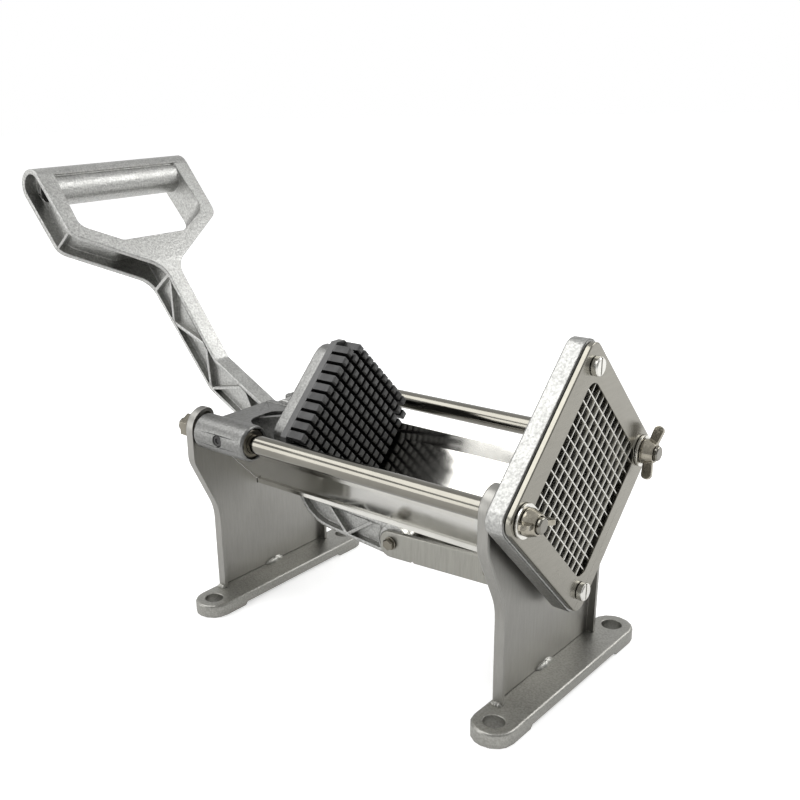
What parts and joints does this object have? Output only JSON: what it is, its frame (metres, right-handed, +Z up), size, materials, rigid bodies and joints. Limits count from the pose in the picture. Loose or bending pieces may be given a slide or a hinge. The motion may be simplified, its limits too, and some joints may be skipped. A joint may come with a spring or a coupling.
{
  "type": "potato cutter",
  "caption": "Hand lever potato cutter: a D-handled crank lever drives a toothed pusher along two rods, over a V-shaped trough and through a square blade grid.",
  "frame": {"origin": "middle of the whole machine's footprint box on the bench plane, lever drawn back", "axes": "+X from the handle towards the blades, +Y across the machine, +Z up"},
  "size_m": [0.3801, 0.1464, 0.2615],
  "materials": {
    "cast_aluminium": "sand-cast, fine grain, matte with rubbed edges",
    "grey_casting": "coarse grain, dull grey",
    "satin_steel": "satin, fine lengthways grain",
    "mirror_steel": "bright polished sheet",
    "polished_rod": "ground and polished, slightly warm",
    "blade_steel": "bright thin strip, ground edges",
    "bright_fastener": "bright plated",
    "black_plastic": "moulded, slightly satin",
    "bushing_metal": "dull turned metal",
    "black_screw": "blackened"
  },
  "bodies": {
    "stand": {"front_foot": "grey_casting", "rear_foot": "grey_casting", "front_leg": "satin_steel", "rear_leg": "satin_steel", "trough_panel_near": "mirror_steel", "trough_panel_far": "mirror_steel", "guide_rod_near": "polished_rod", "guide_rod_far": "polished_rod", "rear_nut_near": "bright_fastener", "rear_nut_far": "bright_fastener", "blade_holder": "cast_aluminium", "blade_frame": "satin_steel", "blade_a_01": "blade_steel", "blade_b_01": "blade_steel", "blade_a_02": "blade_steel", "blade_b_02": "blade_steel", "blade_a_03": "blade_steel", "blade_b_03": "blade_steel", "blade_a_04": "blade_steel", "blade_b_04": "blade_steel", "blade_a_05": "blade_steel", "blade_b_05": "blade_steel", "blade_a_06": "blade_steel", "blade_b_06": "blade_steel", "blade_a_07": "blade_steel", "blade_b_07": "blade_steel", "blade_a_08": "blade_steel", "blade_b_08": "blade_steel", "blade_a_09": "blade_steel", "blade_b_09": "blade_steel", "blade_a_10": "blade_steel", "blade_b_10": "blade_steel", "blade_a_11": "blade_steel", "blade_b_11": "blade_steel", "frame_screw_top": "bright_fastener", "frame_screw_bottom": "bright_fastener", "washer_near": "bright_fastener", "washer_far": "bright_fastener", "link_bracket": "satin_steel"},
    "carriage": {"carriage": "cast_aluminium", "pusher_block": "black_plastic", "pivot_pin": "bright_fastener", "pivot_ring": "bright_fastener", "bushing_near": "bushing_metal", "bushing_far": "bushing_metal", "set_screw_near": "black_screw", "set_screw_far": "black_screw"},
    "lever": {"lever": "cast_aluminium"},
    "link": {"link": "satin_steel", "elbow_bolt": "bright_fastener", "elbow_nut": "bright_fastener", "bracket_bolt_near": "bright_fastener", "bracket_bolt_far": "bright_fastener"},
    "wing_nut_near": {"wing_nut_near": "bright_fastener"},
    "wing_nut_far": {"wing_nut_far": "bright_fastener"}
  },
  "joints": [
    {"name": "carriage_slide", "type": "slide", "parent": "stand", "child": "carriage", "axis": [1, 0, 0], "range_m": [0, 0.142]},
    {"name": "lever_swing", "type": "hinge", "parent": "carriage", "child": "lever", "pos_m": [-0.01694, 0, 0.1135], "axis": [0, 1, 0], "range_deg": [0, 84.15]},
    {"name": "link_swing", "type": "hinge", "parent": "lever", "child": "link", "pos_m": [0.06606, 0, 0.054], "axis": [0, 1, 0], "range_deg": [-110.35, 0]},
    {"name": "wing_nut_near_turn", "type": "hinge", "parent": "stand", "child": "wing_nut_near", "pos_m": [0.18186, -0.0588, 0.1165], "axis": [1, 0, 0], "continuous": true},
    {"name": "wing_nut_far_turn", "type": "hinge", "parent": "stand", "child": "wing_nut_far", "pos_m": [0.18186, 0.0588, 0.1165], "axis": [1, 0, 0], "continuous": true}
  ],
  "couplings": [
    {"joint": "lever_swing", "follows": "carriage_slide", "rad_per_m": 10.331},
    {"joint": "link_swing", "follows": "carriage_slide", "rad_per_m": -13.551}
  ]
}
